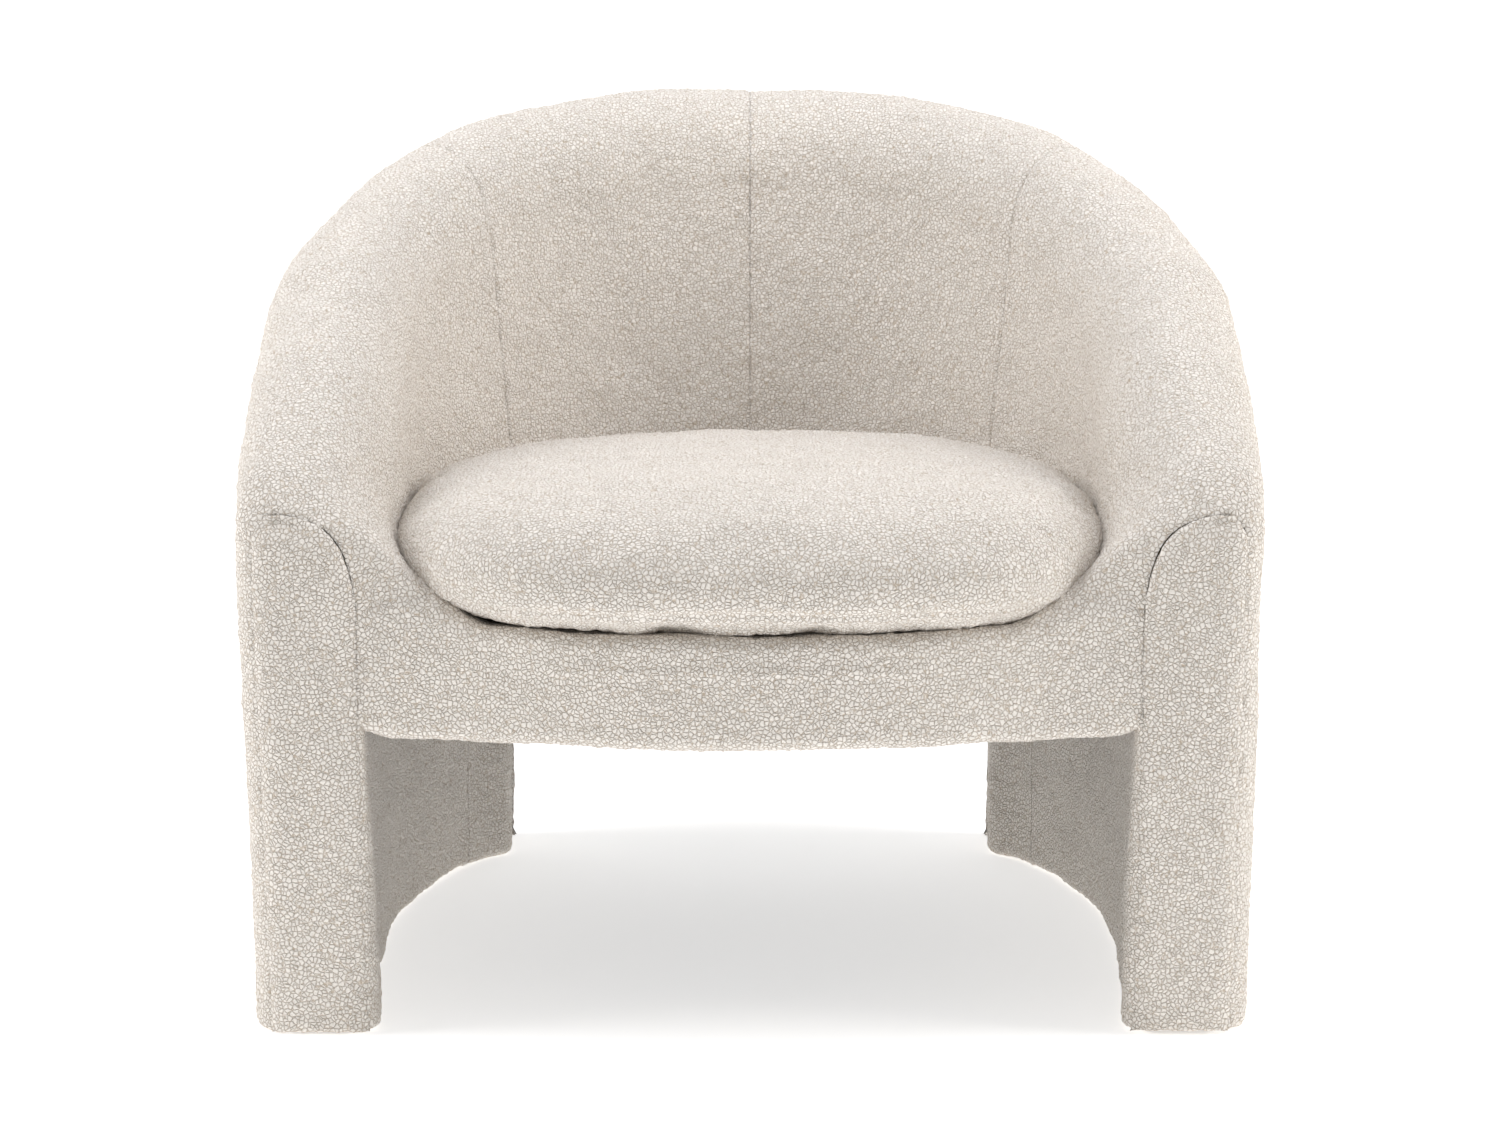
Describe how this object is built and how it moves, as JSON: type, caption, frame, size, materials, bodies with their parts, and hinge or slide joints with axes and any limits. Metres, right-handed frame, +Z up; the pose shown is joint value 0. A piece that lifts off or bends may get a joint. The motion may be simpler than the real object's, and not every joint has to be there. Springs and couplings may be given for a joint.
{
  "type": "upholstered armchair",
  "caption": "Low barrel-shaped lounge armchair in cream sherpa fabric, with a padded horseshoe back and arms on curved side walls and a loose crowned seat cushion.",
  "frame": {"origin": "on the floor under the middle of the chair's bounding box", "axes": "+X to the right of a viewer who faces the chair, +Y from the front to the back, +Z up; the sitter faces -Y"},
  "size_m": [0.8054, 0.77, 0.716],
  "materials": {
    "boucle": "cream sherpa pile, soft curls",
    "foam": "open-cell upholstery foam",
    "felt": "grey insulator felt",
    "deck_cloth": "plain woven decking cloth",
    "dust_cloth": "black spun-bond dust cloth",
    "zip_tape": "woven zip tape with coil teeth",
    "zip_slider": "nickel-plated slider",
    "plated_steel": "zinc plated",
    "spring_steel": "oiled spring wire",
    "plywood": "raw birch plywood",
    "timber": "raw sawn pine",
    "glide_plastic": "moulded, matt"
  },
  "bodies": {
    "frame": {"apron_cover": "boucle", "apron_foam": "foam", "arm_front_board_left": "plywood", "arm_front_board_right": "plywood", "arm_front_cover_left": "boucle", "arm_front_cover_right": "boucle", "arm_front_foam_left": "foam", "arm_front_foam_right": "foam", "arm_top_rail_left": "plywood", "arm_top_rail_right": "plywood", "back_top_rail": "plywood", "base_plate_left": "plywood", "base_plate_right": "plywood", "corner_blocks": "timber", "deck_cloth": "deck_cloth", "deck_pad": "felt", "dust_cover": "dust_cloth", "dust_cover_staples": "plated_steel", "front_rail": "timber", "glides": "glide_plastic", "inner_leg_cover_left": "boucle", "inner_leg_cover_right": "boucle", "inner_leg_foam_left": "foam", "inner_leg_foam_right": "foam", "inside_arm_cover_left": "boucle", "inside_arm_cover_right": "boucle", "inside_arm_foam_left": "foam", "inside_arm_foam_right": "foam", "inside_back_cover_left": "boucle", "inside_back_cover_right": "boucle", "inside_back_foam": "foam", "leg_posts_left": "timber", "leg_posts_right": "timber", "outside_arm_cover_left": "boucle", "outside_arm_cover_right": "boucle", "outside_arm_foam_left": "foam", "outside_arm_foam_right": "foam", "outside_back_cover": "boucle", "outside_back_foam": "foam", "rear_leg_cover_left": "boucle", "rear_leg_cover_right": "boucle", "rear_rail": "timber", "seat_plate_left": "plywood", "seat_plate_right": "plywood", "seat_springs": "spring_steel", "side_rail_left": "timber", "side_rail_right": "timber", "spring_clips": "plated_steel", "upright_left_1": "timber", "upright_left_2": "timber", "upright_left_3": "timber", "upright_left_4": "timber", "upright_right_1": "timber", "upright_right_2": "timber", "upright_right_3": "timber", "upright_right_4": "timber"},
    "seat_cushion": {"cushion_cover": "boucle", "cushion_foam": "foam", "cushion_zip": "zip_tape", "cushion_zip_slider": "zip_slider"}
  },
  "joints": [
    {"name": "cushion_lift", "type": "slide", "parent": "frame", "child": "seat_cushion", "axis": [0, 0, 1], "range_m": [0, 0.35]}
  ]
}
